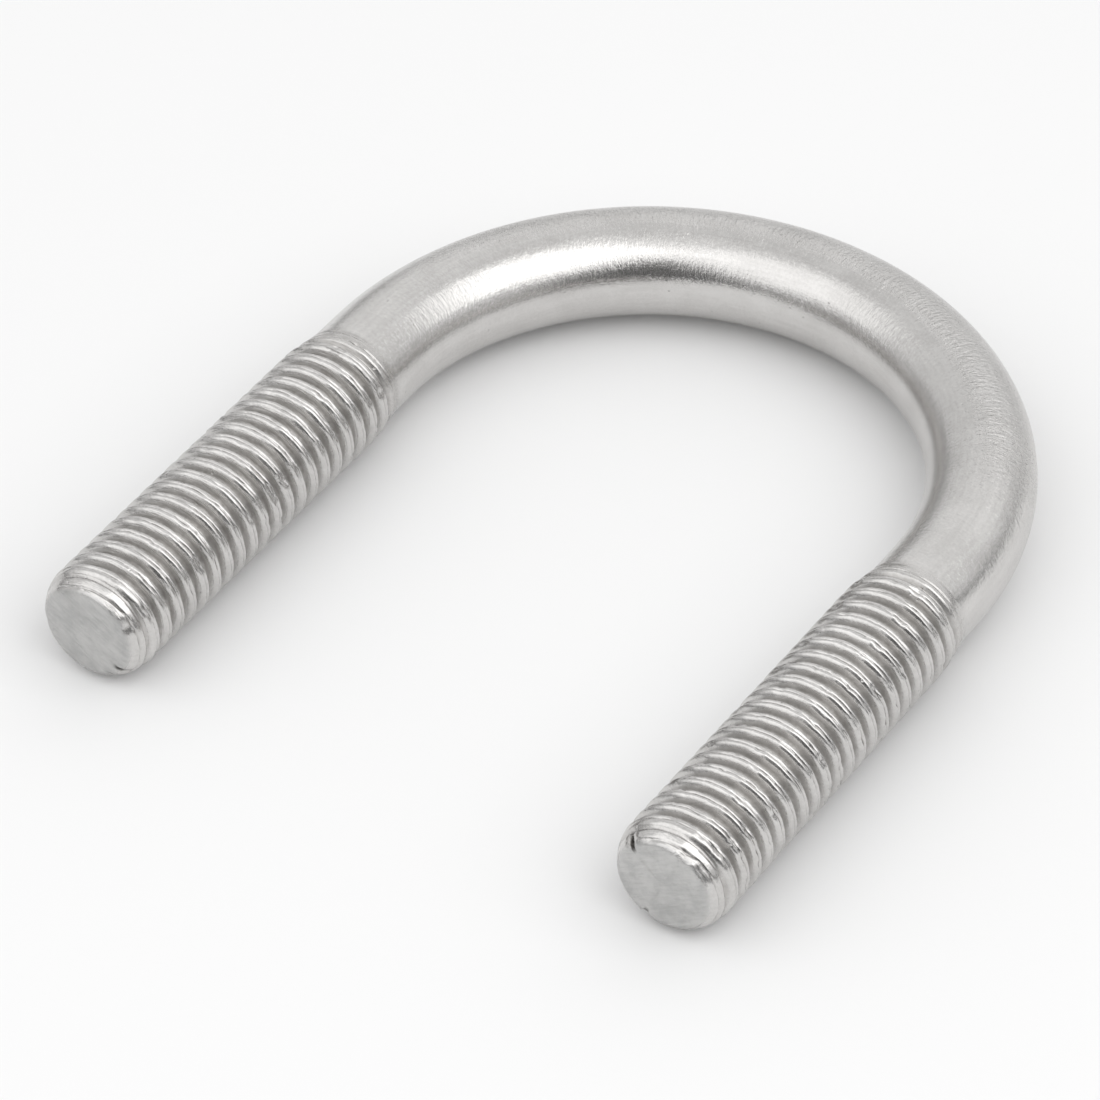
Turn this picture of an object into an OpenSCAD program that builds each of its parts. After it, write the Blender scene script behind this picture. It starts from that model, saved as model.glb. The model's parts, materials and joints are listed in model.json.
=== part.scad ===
// Round-bend U-bolt: one round bar, bent to a U, with a rolled metric thread on each leg.
// It lies flat: the bend and the legs are in the XY plane, and +Z is up.
// The origin is the centre of the bend, on the middle of the bar, where the axis of the
// clamped pipe passes. The legs run from the bend along -Y, one on each side of X = 0.

/* [Bar and bend] */
// Diameter of the plain bar, close to the thread's pitch diameter as on any rolled thread
bar_d = 5.3; // [4.8:0.1:6]
// Clear width inside the bend, from bar to bar
inner_width = 26; // [16:0.5:80]

/* [Legs] */
// Straight plain bar between the end of the bend and the start of the thread
plain_l = 1.7; // [0.4:0.1:40]
// Length of the thread on each leg, with its run-out and its chamfer
thread_l = 22; // [12:0.5:60]

/* [Thread] */
// Diameter over the crests; a rolled M6 thread measures a little under 6 mm
thread_d = 5.9; // [5:0.1:8]
// Distance from one crest to the next
thread_pitch = 1; // [0.7:0.05:1.25]
// Length over which the thread fades into the plain bar
runout_l = 2; // [0.8:0.1:4]

/* [Leg ends] */
// Diameter of the flat face at the end of each leg
end_face_d = 4.7; // [3.6:0.1:4.8]
// Length of the chamfer from that face to the first full crest
chamfer_l = 0.9; // [0.4:0.1:1.8]

/* [Hidden] */
$fn = 96;

// Profile of an ISO metric external thread, as shares of its pitch
crest_share = 1 / 8;
depth_share = 0.6134;
flank_angle = 30;

bar_r = bar_d / 2;
crest_r = thread_d / 2;
root_r = crest_r - depth_share * thread_pitch;
crest_w = crest_share * thread_pitch;
flank_w = (crest_r - root_r) * tan(flank_angle);
root_w = thread_pitch - crest_w - 2 * flank_w;

turns = floor(thread_l / thread_pitch);
grooved_l = turns * thread_pitch;
leg_l = thread_l + plain_l;
bend_r = (inner_width + bar_d) / 2;

// How much of its full height the thread has, z from the leg's end: none at the plain bar
function thread_share(z) = max(0, min(1, (grooved_l - z) / runout_l));

// Radius that the end chamfer leaves, z from the leg's end
function chamfer_r(z) = (end_face_d + (thread_d - end_face_d) * z / chamfer_l) / 2;

// Radius at z of a crest or a root, whose radius on the full thread is full_r
function turned_r(full_r, z) =
    min(bar_r + (full_r - bar_r) * thread_share(z), chamfer_r(z));

// Half outline of one turn that starts at z: out of the root, over the crest, and back in
function turn_outline(z) = [
    for (corner = [
        [root_r, root_w / 2],
        [crest_r, root_w / 2 + flank_w],
        [crest_r, root_w / 2 + flank_w + crest_w],
        [root_r, thread_pitch - root_w / 2],
    ])
        [turned_r(corner[0], z + corner[1]), z + corner[1]]
];

// One leg, from its end face at z = 0 up to the bend. Each turn is a ring: crests and roots
// have the thread's own radii and pitch, without its helix.
module leg() {
    rotate_extrude()
        polygon(concat(
            [[0, 0], [end_face_d / 2, 0]],
            [for (turn = [0 : turns - 1]) each turn_outline(turn * thread_pitch)],
            [[bar_r, grooved_l], [bar_r, leg_l], [0, leg_l]]
        ));
}

// Half a turn of the bar round the pipe's axis
module bend() {
    rotate_extrude(angle = 180)
        translate([bend_r, 0])
            circle(d = bar_d);
}

module u_bolt() {
    color([0.72, 0.71, 0.70]) {
        bend();
        for (side = [-1, 1])
            translate([side * bend_r, -leg_l, 0])
                rotate([-90, 0, 0])
                    leg();
    }
}

u_bolt();
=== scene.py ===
import json
import math
import bpy
from mathutils import Matrix, Vector, noise


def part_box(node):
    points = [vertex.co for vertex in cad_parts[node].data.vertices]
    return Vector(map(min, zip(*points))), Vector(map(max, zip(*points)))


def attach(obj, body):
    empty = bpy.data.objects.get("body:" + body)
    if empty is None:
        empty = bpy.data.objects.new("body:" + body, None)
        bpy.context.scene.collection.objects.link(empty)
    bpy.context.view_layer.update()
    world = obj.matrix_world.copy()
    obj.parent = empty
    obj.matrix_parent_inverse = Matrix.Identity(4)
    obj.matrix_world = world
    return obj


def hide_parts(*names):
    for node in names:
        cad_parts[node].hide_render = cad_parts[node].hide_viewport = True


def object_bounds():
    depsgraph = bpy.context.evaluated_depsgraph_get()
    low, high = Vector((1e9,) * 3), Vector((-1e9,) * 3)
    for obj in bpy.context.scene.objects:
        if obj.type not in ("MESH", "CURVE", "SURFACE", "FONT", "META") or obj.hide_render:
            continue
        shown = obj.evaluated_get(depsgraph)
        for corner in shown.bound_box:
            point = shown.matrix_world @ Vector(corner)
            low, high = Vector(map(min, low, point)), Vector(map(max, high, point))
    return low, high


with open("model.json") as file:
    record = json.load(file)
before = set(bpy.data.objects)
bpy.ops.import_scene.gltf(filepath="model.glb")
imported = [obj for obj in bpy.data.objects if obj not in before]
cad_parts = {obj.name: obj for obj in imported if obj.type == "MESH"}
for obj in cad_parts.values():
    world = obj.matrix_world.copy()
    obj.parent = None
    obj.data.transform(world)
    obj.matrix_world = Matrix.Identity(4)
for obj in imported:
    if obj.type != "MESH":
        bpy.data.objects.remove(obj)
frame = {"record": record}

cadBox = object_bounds()     # kept; its bottom sets the floor's height
scene = bpy.context.scene
mounts = {mount["name"]: mount for mount in frame["record"]["mounts"]}
print("frame loaded")


camera = {
    "azimuth": 33.2,     # degrees, 0 looks along +Y
    "elevation": 41.2,
    "distance": 0.336,
    "roll": -0.5,
    "lens": 236,
    "aim": (-0.8, -7.4, 0),      # millimetres from the middle of the bend
    "clip": (0.01, 10),
}


def unitFrom(azimuth, elevation):
    # unit vector towards a place seen from the bolt, azimuth 0 is in front, towards -Y
    a, e = math.radians(azimuth), math.radians(elevation)
    return Vector((math.sin(a) * math.cos(e), -math.cos(a) * math.cos(e), math.sin(e)))


def makeCamera():
    middle = Vector(camera["aim"]) / 1000
    back = unitFrom(camera["azimuth"], camera["elevation"])
    bpy.ops.object.camera_add(location=middle + back * camera["distance"])
    cam = bpy.context.object
    cam.name = "camera"
    turn = (-back).to_track_quat("-Z", "Y").to_matrix().to_4x4()
    roll = Matrix.Rotation(math.radians(camera["roll"]), 4, "Z")
    cam.rotation_euler = (turn @ roll).to_euler()
    cam.data.lens = camera["lens"]
    cam.data.clip_start, cam.data.clip_end = camera["clip"]
    scene.camera = cam
    print("camera placed")


makeCamera()


# The bolt's sizes in millimetres. The first ones are the frame's own.
low, high = [corner * 1000 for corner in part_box("u_bolt")]
bolt = {
    "bendRadius": mounts["studs"]["dims"]["spacing_x_mm"] / 2,
    "crestRadius": mounts["right_thread"]["dims"]["r_mm"],
    "legLength": -low.y,
    "pitch": 1.0,
    "crestWidth": 0.32,
    "rootRound": 0.12,        # radius at the bottom of the groove
    "flank": math.radians(26),
    "threadLength": 22.0,
    "plainRing": 0.3,         # plain bar that is swept together with the thread
    "runout": 2.4,            # where the thread fades into the plain bar
    "endRadius": 2.34,        # flat face at the leg's end
    "endTaper": 2.0,          # rounded lead-in behind that face
    "seamDepth": 0.075,       # the little fold along a rolled crest
    "seamWidth": 0.14,
    "lipSoftness": 0.03,
    "segments": 90,           # round the bar
    "bendSteps": 132,
    "straightSteps": 3,       # along the plain bar between thread and bend
    "smoothAngle": 75,
    "faceRings": (0.7, 0.4, 0.15),      # rings across the end face, as shares of its radius

    # how far along one pitch each row of points sits, from the bottom of the groove to the crest
    "halfRows": [0, 0.07, 0.15, 0.24, 0.32, 0.365, 0.405, 0.44, 0.47],

    # the leg's end, from the flat face out to the thread: radius and height
    "endEdge": [(2.08, 0.0), (2.19, 0.012), (2.30, 0.045), (2.40, 0.105), (2.495, 0.19)],

    # how uneven the rolled thread is: scales are per millimetre, the rest is in millimetres
    "startScale": 0.5,       # where the thread starts wanders round the leg
    "startDrift": 0.25,
    "fillStart": 0.2,        # the groove is part filled at the leg's end
    "fillLength": 1.9,
    "fillDepth": 0.25,
    "fillDrift": 0.3,
    "dentScale": 1.9,
    "dentDepth": 0.07,
    "rippleScale": 2.6,
    "rippleDepth": 0.02,
    "seamScale": 1.3,
    "weaveScale": 0.9,       # the turns wander a little along the leg
    "weave": 0.03,
    "fineWeaveScale": 2.4,
    "fineWeave": 0.014,

    # small nicks and burrs round each end: degrees round the leg, depth (a burr stands out), width
    "rightNicks": [(-136, 0.30, 0.46), (114, 0.28, 0.46), (-66, 0.12, 0.30), (-52, -0.10, 0.55),
                   (20, 0.05, 0.8)],
    "leftNicks": [(41, 0.26, 0.44), (60, 0.08, 0.5), (-42, -0.10, 0.6), (-27, 0.10, 0.3),
                  (170, 0.06, 0.9)],
    "nickStart": 0.15,       # a nick fades out behind the end face
    "nickLength": 0.6,
    "nickShadeGain": 12,      # how soon a nick is deep enough for its painted shade to be full
}
bolt["barRadius"] = high.y - bolt["bendRadius"]
bolt["rootEdge"] = bolt["rootRound"] * math.cos(bolt["flank"])
halfGroove = (bolt["pitch"] - bolt["crestWidth"]) / 2
bolt["rootRadius"] = (bolt["crestRadius"] - bolt["rootRound"] * (1 - math.sin(bolt["flank"]))
                      - (halfGroove - bolt["rootEdge"]) / math.tan(bolt["flank"]))
rows = bolt["halfRows"] + [0.5] + [1 - share for share in reversed(bolt["halfRows"][1:])]


def startEdit():
    bpy.ops.object.mode_set(mode="EDIT")


def endEdit():
    bpy.ops.object.mode_set(mode="OBJECT")


def selectOnly(obj):
    bpy.ops.object.select_all(action="DESELECT")
    obj.select_set(True)
    bpy.context.view_layer.objects.active = obj


def selectPoints(obj, wanted):
    # picks the mesh points that wanted(position) says yes to, and ends in edit mode
    endEdit()
    mesh = obj.data
    mesh.edges.foreach_set("select", [False] * len(mesh.edges))
    mesh.polygons.foreach_set("select", [False] * len(mesh.polygons))
    chosen = [bool(wanted(point.co)) for point in mesh.vertices]
    mesh.vertices.foreach_set("select", chosen)
    startEdit()
    bpy.ops.mesh.select_mode(type="VERT")
    return sum(chosen)


def extrudeBy(x, y, z):
    bpy.ops.mesh.extrude_region_move(TRANSFORM_OT_translate={"value": (x, y, z)})


def scaleRing(factor, z):
    bpy.ops.transform.resize(value=(factor, factor, 1), center_override=(0, 0, z))


def smoothStep(x):
    x = max(0.0, min(1.0, x))
    return x * x * (3 - 2 * x)


def softMin(a, b, width):
    # the smaller of two, rounded where they cross
    gap = max(width - abs(a - b), 0) / width
    return min(a, b) - gap * gap * width / 4


def turnShare(angle, z):
    # how far along its pitch the helix is here: 0 at the bottom of the groove, a half on the crest
    return (z / bolt["pitch"] - angle / (2 * math.pi)) % 1.0


def leadIn(z):
    # radius that the rounded lead-in leaves, z from the end face
    taper = max(0.0, 1 - z / bolt["endTaper"])
    return bolt["crestRadius"] - (bolt["crestRadius"] - bolt["endRadius"]) * taper ** 3


def threadRadius(angle, z, seed):
    pitch, flank = bolt["pitch"], bolt["flank"]
    bar, crest, root = bolt["barRadius"], bolt["crestRadius"], bolt["rootRadius"]
    share = turnShare(angle, z)
    spot = Vector((math.cos(angle) * bar, math.sin(angle) * bar, z)) + Vector((seed, 0, 0))
    groove = min(share, 1 - share) * pitch          # from the bottom of the groove
    crestSide = pitch / 2 - groove                  # from the middle of the crest

    # formed goes from 0 on the plain bar to 1 on the full thread
    start = noise.noise(spot * bolt["startScale"]) * bolt["startDrift"]
    formed = smoothStep((bolt["threadLength"] - z + start) / bolt["runout"])
    full = smoothStep(formed * 4)
    fill = z - bolt["fillStart"] + bolt["fillDrift"] * noise.noise(spot)
    fill = 1 - smoothStep(fill / bolt["fillLength"])
    deep = bar - formed * (bar - root) + bolt["fillDepth"] * fill
    dents = bolt["dentDepth"] * smoothStep(5 * noise.noise(spot * bolt["dentScale"]) - 1.6)
    dents += bolt["rippleDepth"] * (1 - noise.noise(spot * bolt["rippleScale"]))
    lip = bar + formed ** 0.7 * (crest - bar) - smoothStep(formed * 3) * dents
    lip = min(lip, crest, leadIn(z))

    roundness, edge = bolt["rootRound"], bolt["rootEdge"]
    if groove < edge:
        wall = deep + roundness - math.sqrt(roundness ** 2 - groove ** 2)
    else:
        wall = deep + roundness * (1 - math.sin(flank)) + (groove - edge) / math.tan(flank)

    seam = bolt["seamDepth"] * (0.85 + 0.9 * noise.noise(spot * bolt["seamScale"])) * full
    top = lip - max(0, seam) * (1 - smoothStep(2 * crestSide / bolt["seamWidth"]))
    radius = softMin(wall, top, 0.0001 + bolt["lipSoftness"] * full)
    return min(radius, crest, leadIn(z))


def makeThreadedEnd():
    # one turn's outline is drawn point by point, then swept up the leg by a screw
    pitch = bolt["pitch"]
    outline = [(threadRadius(0, 10 + share * pitch, 0), share * pitch) for share in rows]
    bpy.ops.object.select_all(action="DESELECT")
    bpy.ops.mesh.primitive_plane_add(size=1)
    leg = bpy.context.object
    startEdit()
    bpy.ops.mesh.merge(type="CENTER")
    bpy.ops.transform.translate(value=(outline[0][0], 0, -pitch))
    for near, far in zip(outline, outline[1:]):
        extrudeBy(far[0] - near[0], 0, far[1] - near[1])
    extrudeBy(outline[0][0] - outline[-1][0], 0, pitch - outline[-1][1])
    endEdit()

    screw = leg.modifiers.new("thread", "SCREW")
    screw.axis = "Z"
    screw.angle = 2 * math.pi
    screw.screw_offset = pitch
    screw.iterations = math.ceil(bolt["threadLength"] / pitch) + 3
    screw.steps = screw.render_steps = bolt["segments"]
    screw.use_merge_vertices = False
    bpy.ops.object.modifier_apply(modifier=screw.name)
    startEdit()
    bpy.ops.mesh.select_all(action="SELECT")
    bpy.ops.mesh.remove_doubles(threshold=0.002)

    # cut square at both ends, and only the points on the leg's own columns stay in the cut
    column = 2 * math.pi / bolt["segments"]
    cuts = [(bolt["endEdge"][-1][1], True), (bolt["threadLength"] + bolt["plainRing"], False)]
    for height, below in cuts:
        bpy.ops.mesh.select_all(action="SELECT")
        bpy.ops.mesh.bisect(plane_co=(0, 0, height), plane_no=(0, 0, 1), clear_inner=below,
                            clear_outer=not below, threshold=0.00001)

        def betweenColumns(p):
            part = math.atan2(p.y, p.x) / column
            return abs(p.z - height) < 0.0001 and abs(part - round(part)) > 0.01

        if selectPoints(leg, betweenColumns):
            bpy.ops.mesh.dissolve_verts()
    endEdit()
    return leg


def nickDepth(angle, z, nicks):
    depth = 0.0
    fade = smoothStep(1 - (z - bolt["nickStart"]) / bolt["nickLength"])
    for where, deep, width in nicks:
        turn = (math.degrees(angle) - where + 180) % 360 - 180
        away = abs(math.radians(turn)) * bolt["endRadius"] / (width / 2)
        depth += deep * max(0.0, 1 - away) * fade
    return depth


def formThread(leg, nicks, seed):
    # the fold attribute is 1 down in the crest's seam and fades out on its lips, and is more in a nick; the
    # steel paints shade and grime in the seam and painted shade in the nicks from it
    fold = leg.data.attributes.new("fold", "FLOAT", "POINT")
    folded = []
    for point in leg.data.vertices:
        x, y, z = point.co
        angle = math.atan2(y, x)
        nick = nickDepth(angle, z, nicks)
        radius = threadRadius(angle, z, seed) - nick
        crestSide = abs(turnShare(angle, z) - 0.5) * bolt["pitch"]
        started = smoothStep((bolt["threadLength"] - z - 0.5) / 1.5)
        seam = started * (1 - smoothStep(2 * crestSide / bolt["seamWidth"]))
        folded.append(max(seam, nick * bolt["nickShadeGain"]))
        spot = Vector((x, y, z)) + Vector((seed, 7, 0))
        weave = noise.noise(spot * bolt["weaveScale"]) * bolt["weave"]
        weave += noise.noise(spot * bolt["fineWeaveScale"]) * bolt["fineWeave"]
        weave *= smoothStep((z - 0.5) / 2) * smoothStep((20 - z) / 3)
        point.co = (radius * math.cos(angle), radius * math.sin(angle), z + weave)
    fold.data.foreach_set("value", folded)


def closeEnd(leg):
    # the rounded rim and the flat face grow out of the cut edge
    now, height = bolt["endEdge"][-1]
    selectPoints(leg, lambda p: abs(p.z - height) < 0.0005)
    for radius, z in reversed(bolt["endEdge"][:-1]):
        extrudeBy(0, 0, z - height)
        scaleRing(radius / now, z)
        now, height = radius, z
    for share in bolt["faceRings"]:
        extrudeBy(0, 0, 0)
        scaleRing(share * bolt["endRadius"] / now, 0)
        now = share * bolt["endRadius"]
    bpy.ops.mesh.edge_face_add()
    bpy.ops.mesh.poke()
    endEdit()


def layLeg(leg, side):
    # stands on its end face until here, then lies along the bolt's leg
    for point in leg.data.vertices:
        x, y, z = point.co
        point.co = (x + side * bolt["bendRadius"], max(z, 0.0) - bolt["legLength"], -y)


def makeBolt():
    print("thread")
    blank = makeThreadedEnd()
    legs = []
    for side, nicks, seed in ((1, bolt["rightNicks"], 3.0), (-1, bolt["leftNicks"], 41.0)):
        leg = blank.copy()
        leg.data = blank.data.copy()
        bpy.context.collection.objects.link(leg)
        selectOnly(leg)
        formThread(leg, nicks, seed)
        closeEnd(leg)
        layLeg(leg, side)
        legs.append(leg)
    bpy.data.objects.remove(blank)

    print("bend")
    right, left = legs
    selectOnly(right)
    top = bolt["threadLength"] + bolt["plainRing"] - bolt["legLength"]
    step = top / bolt["straightSteps"]
    selectPoints(right, lambda p: abs(p.y - top) < 0.0005)
    for part in range(bolt["straightSteps"]):
        extrudeBy(0, -step, 0)
    bpy.ops.mesh.spin(steps=bolt["bendSteps"], angle=-math.pi, center=(0, 0, 0), axis=(0, 0, 1))
    for part in range(bolt["straightSteps"]):
        extrudeBy(0, step, 0)
    endEdit()
    left.select_set(True)
    bpy.ops.object.join()
    piece = bpy.context.object
    piece.name = piece.data.name = "bent_bolt"
    startEdit()
    bpy.ops.mesh.select_all(action="SELECT")
    bpy.ops.mesh.remove_doubles(threshold=0.003)
    bpy.ops.mesh.normals_make_consistent(inside=False)
    endEdit()
    piece.scale = (0.001, 0.001, 0.001)      # drawn in millimetres until here
    bpy.ops.object.transform_apply(location=False, rotation=False, scale=True)
    bpy.ops.object.shade_smooth_by_angle(angle=math.radians(bolt["smoothAngle"]))
    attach(piece, "root")
    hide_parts("u_bolt")
    return piece


def straightPlaces(piece):
    # Where each point was on the bar before it was bent, in millimetres:
    # across the bar in X and Y, and along it in Z, from the crown of the bend.
    places = piece.data.attributes.new("straight", "FLOAT_VECTOR", "POINT")
    bendRadius, quarter = bolt["bendRadius"], math.pi / 2
    values = []
    for point in piece.data.vertices:
        x, y, z = point.co * 1000
        if y < 0:
            along = math.copysign(bendRadius * quarter - y, x)
            across = abs(x) - bendRadius
        else:
            along = bendRadius * (quarter - math.atan2(y, x))
            across = math.hypot(x, y) - bendRadius
        values += [across, z, along]
    places.data.foreach_set("vector", values)


bentBolt = makeBolt()
straightPlaces(bentBolt)
print("bolt made", len(bentBolt.data.vertices), "points")


steel = {
    "light": (0.68, 0.668, 0.655),
    "dark": (0.58, 0.568, 0.555),
    # groove: painted shade and grime in the thread's groove, also used in the crest's seam
    "groove": (0.39, 0.377, 0.362),
    # nick: near black, painted shade in the nicks at the ends
    "nick": (0.05, 0.047, 0.043),
    "endFace": (0.56, 0.557, 0.549),
    "endDark": (0.41, 0.412, 0.408),
    "roughness": 0.225,
    "grooveRoughness": 0.38,
    "outsideRoughness": 0.07,     # more on the outside of the bend
    "faceRoughness": 0.15,        # more on the end faces
    # noises: scale per millimetre, detail and roughness
    "streaks": (4.5, 4, 0.65),
    "blotches": (0.35, 3, 0.6),
    "lines": (7.0, 3, 0.6),
    "grain": (6.5, 2, 0.6),
    "speckles": (3.2, 4, 0.7),
    "breaks": (1.4, 2, 0.6),
    "marks": (0.8, 3, 0.65),
    "mottle": (0.8, 5, 0.7),
    "crackle": (2.6, 3, 0.7),
    "pitScale": 0.9,
    # where on those noises a change starts and is complete
    "wearRange": (0.35, 0.65),
    "speckleRange": (0.36, 0.64),
    "breakRange": (0.40, 0.58),
    "wornRange": (0.36, 0.62),
    "pitRange": (0.02, 0.08),
    # distance from the bar's axis, in millimetres, where these start and are complete
    "grooveRange": (2.95, 2.55),
    "nickRange": (1.85, 2.2),
    "leastSpeckle": 0.62,
    # relief, in metres
    "streakRelief": 0.000005,
    "faceRelief": 0.00012,
    "lineRelief": 0.000025,
    "skinRelief": 0.00011,
    "pitRelief": 0.00002,
    "grainRelief": 0.000006,
}


def newMaterial(name):
    material = bpy.data.materials.new(name)
    material.use_nodes = True
    tree = material.node_tree
    return material, tree, tree.nodes["Principled BSDF"]


def plug(tree, socket, value):
    # a value goes on the socket itself, an output gets linked to it
    if isinstance(value, bpy.types.NodeSocket):
        tree.links.new(value, socket)
    else:
        socket.default_value = value


def maths(tree, operation, *values, clamp=False):
    node = tree.nodes.new("ShaderNodeMath")
    node.operation = operation
    node.use_clamp = clamp
    for socket, value in zip(node.inputs, values):
        plug(tree, socket, value)
    return node.outputs[0]


def times(tree, first, second):
    return maths(tree, "MULTIPLY", first, second)


def timesPlus(tree, first, second, third):
    return maths(tree, "MULTIPLY_ADD", first, second, third)


def ramp(tree, value, start, end, least=0.0, most=1.0):
    node = tree.nodes.new("ShaderNodeMapRange")
    node.interpolation_type = "SMOOTHSTEP"
    for socket, setting in zip(node.inputs, (value, start, end, least, most)):
        plug(tree, socket, setting)
    return node.outputs[0]


def mixColour(tree, share, first, second):
    node = tree.nodes.new("ShaderNodeMix")
    node.data_type = "RGBA"
    plug(tree, node.inputs["Factor"], share)
    plug(tree, node.inputs["A"], first)
    plug(tree, node.inputs["B"], second)
    return node.outputs["Result"]


def joinXYZ(tree, x, y, z):
    node = tree.nodes.new("ShaderNodeCombineXYZ")
    for socket, value in zip(node.inputs, (x, y, z)):
        plug(tree, socket, value)
    return node.outputs[0]


def splitXYZ(tree, vector):
    node = tree.nodes.new("ShaderNodeSeparateXYZ")
    tree.links.new(vector, node.inputs[0])
    return node.outputs


def attributeAt(tree, name):
    node = tree.nodes.new("ShaderNodeAttribute")
    node.attribute_name = name
    return node.outputs


def noiseAt(tree, place, scale, detail, roughness):
    node = tree.nodes.new("ShaderNodeTexNoise")
    plug(tree, node.inputs["Vector"], place)
    node.inputs["Scale"].default_value = scale
    node.inputs["Detail"].default_value = detail
    node.inputs["Roughness"].default_value = roughness
    return node.outputs[0]


def bumpOn(tree, height, distance, under=None):
    node = tree.nodes.new("ShaderNodeBump")
    node.inputs["Distance"].default_value = distance
    plug(tree, node.inputs["Height"], height)
    if under:
        plug(tree, node.inputs["Normal"], under)
    return node.outputs[0]


def steelColour(name):
    return (*steel[name], 1)


def barPlaces(tree):
    # where a point is on the straightened bar
    plain = attributeAt(tree, "straight")["Vector"]
    across, height, along = splitXYZ(tree, plain)
    radius = maths(tree, "SQRT", maths(tree, "ADD", times(tree, across, across), times(tree, height, height)))
    fromAxis = maths(tree, "MAXIMUM", radius, 0.3)
    roundX = maths(tree, "DIVIDE", across, fromAxis)
    roundY = maths(tree, "DIVIDE", height, fromAxis)
    return {
        "plain": plain,
        "across": across,
        "height": height,
        "along": along,
        "radius": radius,
        "roundX": roundX,
        "distance": maths(tree, "ABSOLUTE", along),
        # stretched along the bar, and stretched round it
        "lengthwise": joinXYZ(tree, across, height, times(tree, along, 0.07)),
        "roundwise": joinXYZ(tree, times(tree, roundX, 0.35), times(tree, roundY, 0.35),
                             timesPlus(tree, radius, 0.7, along)),
    }


def barMasks(tree, at):
    tip = bolt["bendRadius"] * math.pi / 2 + bolt["legLength"]
    plainEnd = tip - bolt["threadLength"]
    outsideBend = ramp(tree, at["distance"], 26.0, 12.0)
    return {
        "threaded": ramp(tree, at["distance"], plainEnd - 0.2, plainEnd + 0.6),
        "behindTip": ramp(tree, at["distance"], tip - 0.3, tip - 1.3),
        "face": ramp(tree, at["distance"], tip - 0.20, tip),
        "outside": times(tree, ramp(tree, at["roundX"], -0.6, 0.2), outsideBend),
    }


def endFaceWear(tree, at):
    # sawn and tumbled: mottled, with a few straight marks across it
    slanted = joinXYZ(tree,
                      timesPlus(tree, at["across"], 0.9, times(tree, at["height"], 0.5)),
                      timesPlus(tree, at["height"], 7.0, times(tree, at["across"], -4.0)),
                      0.0)
    marks = noiseAt(tree, slanted, *steel["marks"])
    mottle = noiseAt(tree, at["plain"], *steel["mottle"])
    return timesPlus(tree, marks, 0.35, times(tree, mottle, 0.65))


def makeSteel():
    material, tree, shader = newMaterial("stainless_steel")
    at = barPlaces(tree)
    mask = barMasks(tree, at)
    streaks = noiseAt(tree, at["lengthwise"], *steel["streaks"])
    blotches = noiseAt(tree, at["plain"], *steel["blotches"])
    lines = noiseAt(tree, at["roundwise"], *steel["lines"])
    grain = noiseAt(tree, at["plain"], *steel["grain"])

    # the bar's own colour
    wear = timesPlus(tree, streaks, 0.3, times(tree, blotches, 0.4))
    wear = timesPlus(tree, grain, 0.3, wear)
    wear = ramp(tree, wear, *steel["wearRange"])
    colour = mixColour(tree, wear, steelColour("dark"), steelColour("light"))

    # painted shade and grime down in the groove: darker and speckled
    depth = ramp(tree, timesPlus(tree, lines, 0.16, at["radius"]), *steel["grooveRange"])
    depth = times(tree, times(tree, depth, mask["threaded"]), mask["behindTip"])
    speckle = noiseAt(tree, at["plain"], *steel["speckles"])
    speckle = ramp(tree, speckle, *steel["speckleRange"], steel["leastSpeckle"], 1.0)
    colour = mixColour(tree, times(tree, depth, speckle), colour, steelColour("groove"))

    # broken dark lines in the crest's seam: painted shade and grime in the fold
    fold = attributeAt(tree, "fold")["Fac"]
    broken = ramp(tree, noiseAt(tree, at["plain"], *steel["breaks"]), *steel["breakRange"])
    seam = maths(tree, "MULTIPLY", times(tree, fold, broken), 0.6, clamp=True)
    colour = mixColour(tree, seam, colour, steelColour("groove"))

    # end face, and painted shade in its nicks
    worn = endFaceWear(tree, at)
    faceWear = ramp(tree, worn, *steel["wornRange"])
    faceColour = mixColour(tree, faceWear, steelColour("endDark"), steelColour("endFace"))
    colour = mixColour(tree, times(tree, mask["face"], 0.8), colour, faceColour)
    # nicks are painted near black: painted shade, darker where a nick is deeper
    nick = maths(tree, "SUBTRACT", fold, 1.0, clamp=True)
    nick = times(tree, nick, ramp(tree, at["radius"], *steel["nickRange"]))
    colour = mixColour(tree, nick, colour, steelColour("nick"))
    tree.links.new(colour, shader.inputs["Base Color"])

    rough = timesPlus(tree, grain, 0.10, steel["roughness"] - 0.05)
    rough = timesPlus(tree, mask["outside"], steel["outsideRoughness"], rough)
    rough = timesPlus(tree, depth, steel["grooveRoughness"] - steel["roughness"], rough)
    rough = timesPlus(tree, mask["face"], steel["faceRoughness"], rough)
    tree.links.new(rough, shader.inputs["Roughness"])
    shader.inputs["Metallic"].default_value = 1

    # relief: drawn streaks, end face, rolling lines in the thread, stretched skin outside the bend, pits
    crackled = joinXYZ(tree, times(tree, at["across"], 0.8), times(tree, at["height"], 0.8),
                       times(tree, at["along"], 2.2))
    crackle = noiseAt(tree, crackled, *steel["crackle"])
    skin = times(tree, timesPlus(tree, mask["outside"], 0.8, 0.2),
                 maths(tree, "SUBTRACT", 1.0, mask["threaded"]))
    pits = tree.nodes.new("ShaderNodeTexVoronoi")
    pits.inputs["Scale"].default_value = steel["pitScale"]
    tree.links.new(at["plain"], pits.inputs["Vector"])
    normal = bumpOn(tree, streaks, steel["streakRelief"])
    normal = bumpOn(tree, times(tree, worn, mask["face"]), steel["faceRelief"], normal)
    normal = bumpOn(tree, times(tree, lines, mask["threaded"]), steel["lineRelief"], normal)
    normal = bumpOn(tree, times(tree, crackle, skin), steel["skinRelief"], normal)
    pitted = ramp(tree, pits.outputs["Distance"], *steel["pitRange"])
    normal = bumpOn(tree, pitted, steel["pitRelief"], normal)
    normal = bumpOn(tree, grain, steel["grainRelief"], normal)
    tree.links.new(normal, shader.inputs["Normal"])
    return material


bentBolt.data.materials.clear()
bentBolt.data.materials.append(makeSteel())
print("steel done")


floor = {
    "width": 3.0,
    "colour": (0.86, 0.86, 0.86),
    "roughness": 0.9,
}


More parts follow.
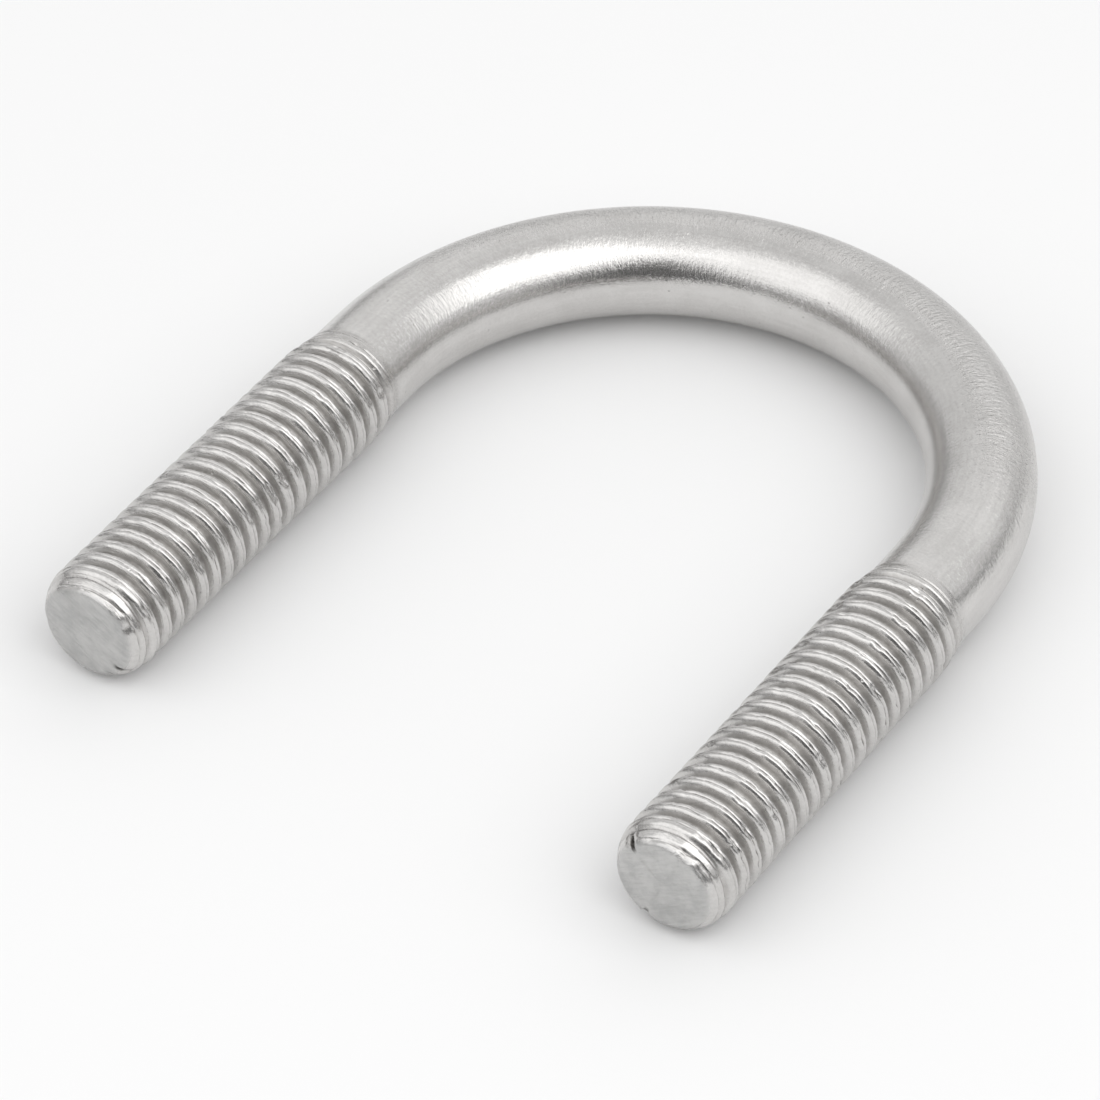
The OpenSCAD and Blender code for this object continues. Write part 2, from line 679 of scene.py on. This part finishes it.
def makeFloor():
    bpy.ops.object.select_all(action="DESELECT")
    bpy.ops.mesh.primitive_plane_add(size=floor["width"], location=(0, 0, cadBox[0].z))
    plane = bpy.context.object
    plane.name = "floor"
    material, tree, shader = newMaterial("floor_paper")
    shader.inputs["Base Color"].default_value = (*floor["colour"], 1)
    shader.inputs["Roughness"].default_value = floor["roughness"]
    plane.data.materials.append(material)


# two soft lamps, one on each side of the camera: angles from the bolt, size, distance and radiance
lamps = [
    {"azimuth": camera["azimuth"] + 50, "elevation": 50, "width": 0.70, "height": 0.56,
     "distance": 0.6, "radiance": 1.1},
    {"azimuth": camera["azimuth"] - 60, "elevation": 44, "width": 0.76, "height": 0.54,
     "distance": 0.6, "radiance": 0.6},
]


def makeLamps():
    for lamp in lamps:
        back = unitFrom(lamp["azimuth"], lamp["elevation"])
        bpy.ops.object.light_add(type="AREA", location=back * lamp["distance"])
        light = bpy.context.object
        light.rotation_euler = (-back).to_track_quat("-Z", "Y").to_euler()
        light.data.shape = "RECTANGLE"
        light.data.size, light.data.size_y = lamp["width"], lamp["height"]
        light.data.energy = lamp["radiance"] * math.pi * lamp["width"] * lamp["height"]
        light.visible_camera = False


sky = {
    "strength": 0.78,
    # azimuth, elevation, half width in degrees, and how much the light there is multiplied
    "patches": [
        (camera["azimuth"] + 155, 22, 50, 1.3),
        (camera["azimuth"], 6, 46, 0.16),
        (camera["azimuth"], 62, 38, 1.25),
    ],
    "patchCore": 0.3,             # share of a patch's width that has its full effect
    "horizon": 0.06,              # what is left of the light at the horizon
    "horizonFade": (0.05, 0.19),
}


def makeSky():
    world = bpy.data.worlds.new("studio")
    world.use_nodes = True
    tree = world.node_tree
    place = tree.nodes.new("ShaderNodeTexCoord").outputs["Generated"]
    strength = sky["strength"]
    for azimuth, elevation, width, factor in sky["patches"]:
        aim = tree.nodes.new("ShaderNodeVectorMath")
        aim.operation = "DOT_PRODUCT"
        tree.links.new(place, aim.inputs[0])
        aim.inputs[1].default_value = unitFrom(azimuth, elevation)
        edge, core = math.cos(math.radians(width)), math.cos(math.radians(width * sky["patchCore"]))
        strength = times(tree, strength, ramp(tree, aim.outputs["Value"], edge, core, 1.0, factor))
    up = splitXYZ(tree, place)[2]
    strength = times(tree, strength, ramp(tree, up, *sky["horizonFade"], sky["horizon"], 1.0))
    background = tree.nodes["Background"]
    background.inputs["Color"].default_value = (1, 1, 1, 1)
    tree.links.new(strength, background.inputs["Strength"])
    scene.world = world


makeFloor()
makeLamps()
makeSky()
scene.view_settings.view_transform = "Standard"
print("studio done")
